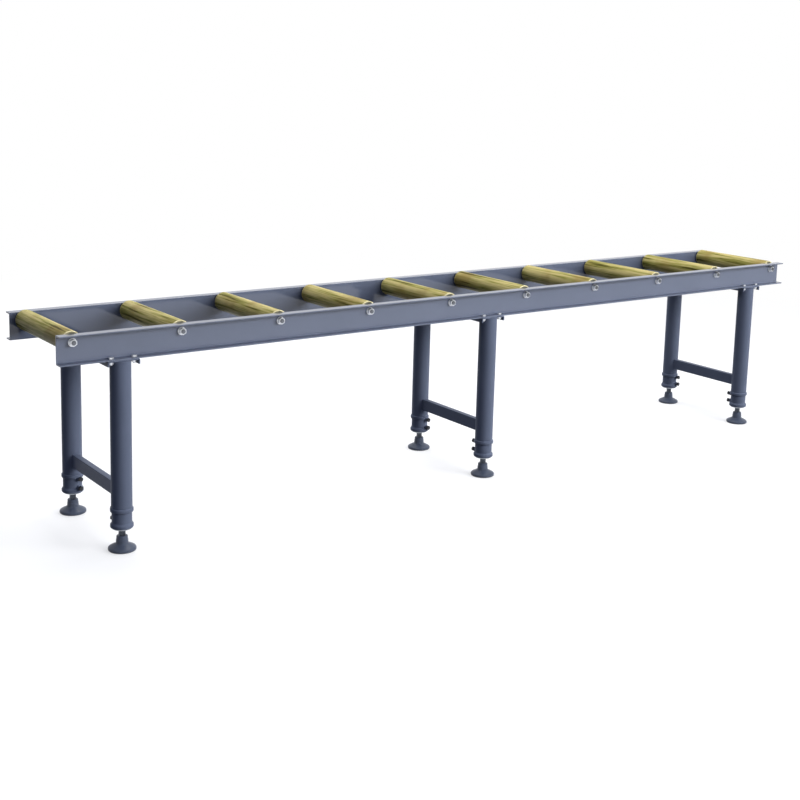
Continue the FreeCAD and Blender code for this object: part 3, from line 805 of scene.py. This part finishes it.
@dataclass
class Leveller:
    """The foot of one leg: inner leg, clamp screws, threaded spindle and cast foot."""

    side: Side
    station: Station
    spindle_pitch: float = 2.5
    clamp_angle: float = 75.0
    clamp_levels: tuple[float, float] = (84.0, 113.0)
    screw_diameter: float = 8.0
    screw_pitch: float = 1.25
    screw_tip: float = 22.8
    head_reach: float = 38.0
    head_height: float = 7.0
    head_flats: float = 13.0
    screw_columns: int = 24
    disc_edge: float = 2.0
    disc_height: float = 7.0
    # Top edge of the disc, in from its rim and above the floor.
    disc_shoulder: tuple[float, float] = (2.4, 9.8)
    # Radius and height of the foot's corners: the top of the cone, then the neck from its root to its step.
    neck: tuple[tuple[float, float], ...] = ((19.2, 19.4), (17.7, 21.5), (17.0, 32.5), (16.4, 33.3))
    mouth_radius: float = 16.0
    mouth_edge: float = 2.0
    socket_radius: float = 10.05
    casting_round: float = 1.6
    foot_columns: int = 72

    @property
    def corner(self) -> str:
        """Name of the corner, as its nodes and bodies have it."""
        return f"{self.side.name.lower()}_{self.station.name.lower()}"

    def dress(self) -> None:
        """Gives the inner leg its zinc."""
        dress_nodes(LEG_ZINC, f"{self.corner}_inner_leg")

    def middle(self) -> np.ndarray:
        """Point on the floor under the middle of the leg."""
        low, high = box_mm(f"{self.corner}_foot")
        return np.array([(low[0] + high[0]) / 2.0, (low[1] + high[1]) / 2.0, 0.0])

    def foot(self) -> np.ndarray:
        """Turns the cast foot's outline about Z: rimmed disc, shallow cone, and stepped neck with a socket.

        Returns:
            Rings of points from the middle of the underside to the middle of the socket's floor.
        """
        low, high = box_mm(f"{self.corner}_foot")
        rim, top = (high[0] - low[0]) / 2.0, high[2]
        socket_floor = box_mm(f"{self.corner}_spindle")[0][2]
        inwards, shoulder = self.disc_shoulder
        disc = [(0.0, 0.0), (rim - self.disc_edge, 0.0), (rim, self.disc_edge), (rim, self.disc_height),
                (rim - inwards, shoulder)]
        mouth = [(self.mouth_radius, top - self.mouth_edge), (self.mouth_radius - self.mouth_edge, top)]
        socket = [(self.socket_radius, top), (self.socket_radius, socket_floor), (0.0, socket_floor)]
        outline = rounded([*disc, *self.neck, *mouth, *socket], self.casting_round, closed=False)
        return lathe(outline, self.foot_columns)

    def clamp_screws(self) -> list[np.ndarray]:
        """Makes the two hexagon-headed screws that point at the leg's axis.

        Returns:
            Rings of points of both heads, and of both threads.
        """
        turn = math.radians(self.clamp_angle)
        along = -self.side.value * np.array([-math.cos(turn), math.sin(turn), 0.0])
        origins = self.middle() + np.outer(self.clamp_levels, UP)
        shapes = [hexagon(self.head_flats, 0.0, self.head_reach, self.head_reach + self.head_height),
                  thread(self.screw_diameter, self.screw_pitch, self.screw_tip,
                         self.head_reach + THREAD_RUN_IN, self.screw_columns)]
        return [placed(shape, origins, along, UP) for shape in shapes]

    def build(self) -> None:
        """Builds the foot, the spindle and the clamp screws, each on its own body."""
        origin = self.middle()[None]
        low, high = box_mm(f"{self.corner}_spindle")
        screw = thread(high[0] - low[0], self.spindle_pitch, low[2], high[2])
        make_piece(f"{self.corner}_cast_foot", [placed(self.foot(), origin, UP, ACROSS)], FOOT_ENAMEL,
                   f"{self.corner}_leveller", (f"{self.corner}_foot",))
        make_piece(f"{self.corner}_threaded_spindle", [placed(screw, origin, UP, ACROSS)], SPINDLE_STEEL,
                   f"{self.corner}_screw", (f"{self.corner}_spindle",))
        make_piece(f"{self.corner}_clamp_screw_pair", self.clamp_screws(), BLACK_OXIDE,
                   f"{self.corner}_clamp", (f"{self.corner}_clamp_screws",))


@dataclass(frozen=True)
class Softbox:
    """A square-cornered soft lamp that points at a place, in metres and degrees."""

    name: str
    place: tuple[float, float, float]
    aim: tuple[float, float, float]
    width: float
    height: float
    watts: float
    # A grid in front of the lamp narrows this.
    spread: float = 180.0
    # Off for a lamp behind a polariser, which puts no bright patch into the gloss.
    mirrored: bool = True

    def build(self) -> None:
        """Hangs the lamp and turns it to its aim."""
        lamp = bpy.data.lights.new(self.name, "AREA")
        lamp.shape = "RECTANGLE"
        lamp.size, lamp.size_y, lamp.energy = self.width, self.height, self.watts
        lamp.spread = math.radians(self.spread)
        holder = bpy.data.objects.new(self.name, lamp)
        holder.location = self.place
        holder.visible_glossy = self.mirrored
        holder.rotation_euler = (Vector(self.aim) - Vector(self.place)).to_track_quat("-Z", "Y").to_euler()
        bpy.context.scene.collection.objects.link(holder)


@dataclass
class Studio:
    """Pale floor, white surround, soft lamps and the camera at the photograph's place.

    Lengths are in metres and angles in radians.
    """

    floor_colour: str = "#f4f4f4"
    # What the floor throws back at the table, as a dark studio floor would.
    floor_bounce: str = "#2a2e35"
    floor_size: float = 60.0
    # The floor lies just under the feet, so that the two don't share a plane.
    floor_drop_mm: float = 0.5
    # Share of plain white in the floor near the table; the rest takes the table's shadow.
    floor_glow: float = 0.55
    plain_within: float = 2.2
    white_beyond: float = 4.5
    ambient: float = 0.34
    ambient_colour: str = "#ccd9ff"
    camera_place: tuple[float, float, float] = (-2.73485, -3.44555, 1.36306)
    camera_pitch: float = -0.16753
    camera_roll: float = -0.02662
    camera_heading: float = -0.62736
    sensor_mm: float = 36.0
    focal_pixels: float = 1288.5
    image_pixels: float = 800.0
    # Row of the picture that the camera's axis meets: the photograph's framing is off its middle.
    axis_row: float = 286.78
    lamps: tuple[Softbox, ...] = (
        Softbox("key_lamp", place=(5.2, -5.2, 2.1), aim=(0.0, 0.0, 1.1), width=7.0, height=3.0, watts=90.0,
                spread=60.0, mirrored=False),
        Softbox("front_lamp", place=(1.8, -4.6, 2.6), aim=(0.0, 0.0, 0.6), width=4.5, height=2.0, watts=275.0,
                mirrored=False),
        Softbox("top_lamp", place=(0.3, 0.7, 4.6), aim=(0.0, 0.0, 0.6), width=4.5, height=2.0, watts=190.0),
        Softbox("back_lamp", place=(0.0, 4.6, 2.8), aim=(0.0, 0.0, 0.6), width=4.5, height=2.0, watts=140.0,
                mirrored=False))

    def seen_directly(self, tree: bpy.types.NodeTree) -> bpy.types.NodeSocket:
        """One where a ray comes from the camera, a reflection or through glass, else zero.

        Args:
            tree: Node tree that asks.

        Returns:
            The socket with that number.
        """
        path = add_node(tree, "ShaderNodeLightPath")
        either = add_node(tree, "ShaderNodeMath", {"operation": "MAXIMUM"}, {
            0: path.outputs["Is Camera Ray"], 1: path.outputs["Is Glossy Ray"]})
        any_of = add_node(tree, "ShaderNodeMath", {"operation": "MAXIMUM"}, {
            0: either.outputs["Value"], 1: path.outputs["Is Transmission Ray"]})
        return any_of.outputs["Value"]

    def build_world(self) -> None:
        """Makes a white surround that lights the table only as a plain ambient level."""
        world = bpy.data.worlds.new("white_surround")
        world.use_nodes = True
        tree = world.node_tree
        tree.nodes.clear()
        ambient = add_node(tree, "ShaderNodeBackground", inputs={
            "Color": linear(self.ambient_colour), "Strength": self.ambient})
        white = add_node(tree, "ShaderNodeBackground", inputs={"Color": linear("#ffffff"), "Strength": 1.0})
        mixed = add_node(tree, "ShaderNodeMixShader", inputs={
            0: self.seen_directly(tree), 1: ambient.outputs["Background"], 2: white.outputs["Background"]})
        add_node(tree, "ShaderNodeOutputWorld", inputs={"Surface": mixed.outputs["Shader"]})
        bpy.context.scene.world = world

    def build_floor(self) -> None:
        """Lays a pale floor that takes a faint shadow near the table and fades to white far away."""
        half = self.floor_size / 2.0
        mesh = bpy.data.meshes.new("studio_floor")
        mesh.from_pydata([(-half, -half, 0.0), (half, -half, 0.0), (half, half, 0.0), (-half, half, 0.0)],
                         [], [(0, 1, 2, 3)])
        floor = bpy.data.objects.new("studio_floor", mesh)
        floor.location.z = -self.floor_drop_mm * MM
        bpy.context.scene.collection.objects.link(floor)
        material = bpy.data.materials.new("pale_studio_floor")
        material.use_nodes = True
        tree = material.node_tree
        tree.nodes.clear()
        place = add_node(tree, "ShaderNodeTexCoord").outputs["Object"]
        away = add_node(tree, "ShaderNodeVectorMath", {"operation": "LENGTH"}, {0: place})
        fade = add_node(tree, "ShaderNodeMapRange", {"interpolation_type": "SMOOTHSTEP"}, {
            "Value": away.outputs["Value"], "From Min": self.plain_within, "From Max": self.white_beyond,
            "To Min": self.floor_glow, "To Max": 1.0})
        plain = add_node(tree, "ShaderNodeBsdfDiffuse", inputs={"Color": linear(self.floor_colour)})
        bounce = add_node(tree, "ShaderNodeBsdfDiffuse", inputs={"Color": linear(self.floor_bounce)})
        glow = add_node(tree, "ShaderNodeEmission", inputs={"Strength": 1.0})
        white = add_node(tree, "ShaderNodeMixShader", inputs={
            0: fade.outputs["Result"], 1: plain.outputs["BSDF"], 2: glow.outputs["Emission"]})
        mixed = add_node(tree, "ShaderNodeMixShader", inputs={
            0: self.seen_directly(tree), 1: bounce.outputs["BSDF"], 2: white.outputs["Shader"]})
        add_node(tree, "ShaderNodeOutputMaterial", inputs={"Surface": mixed.outputs["Shader"]})
        mesh.materials.append(material)

    def build_camera(self) -> None:
        """Sets the camera by its place, heading, pitch and roll, with the axis off the middle row."""
        data = bpy.data.cameras.new("camera")
        data.sensor_width = self.sensor_mm
        data.lens = self.focal_pixels * self.sensor_mm / self.image_pixels
        data.shift_y = (self.axis_row - self.image_pixels / 2.0) / self.image_pixels
        camera = bpy.data.objects.new("camera", data)
        turn = (Matrix.Rotation(self.camera_heading, 4, "Z") @ Matrix.Rotation(self.camera_pitch, 4, "X")
                @ Matrix.Rotation(self.camera_roll, 4, "Y") @ Matrix.Rotation(math.pi / 2.0, 4, "X"))
        camera.matrix_world = Matrix.Translation(self.camera_place) @ turn
        bpy.context.scene.collection.objects.link(camera)
        bpy.context.scene.camera = camera

    def build(self) -> None:
        """Sets up the floor, the surround, the lamps and the camera."""
        self.build_world()
        self.build_floor()
        self.build_camera()
        for lamp in self.lamps:
            lamp.build()
        bpy.context.scene.view_settings.view_transform = "Standard"


def main() -> None:
    """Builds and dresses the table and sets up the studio."""
    logging.basicConfig(level=logging.INFO, format="%(name)s: %(message)s")
    RailPair().dress()
    bed = RollerBed()
    bed.dress()
    bed.build()
    for station in Station:
        leg_frame = LegFrame(station)
        leg_frame.dress()
        leg_frame.build()
    dress_nodes(FRAME_ENAMEL, "crossbars", "leg_collars")
    SaddleBolts().build()
    for station in Station:
        for side in Side:
            leveller = Leveller(side, station)
            leveller.dress()
            leveller.build()
    Studio().build()


if __name__ == "__main__":
    main()
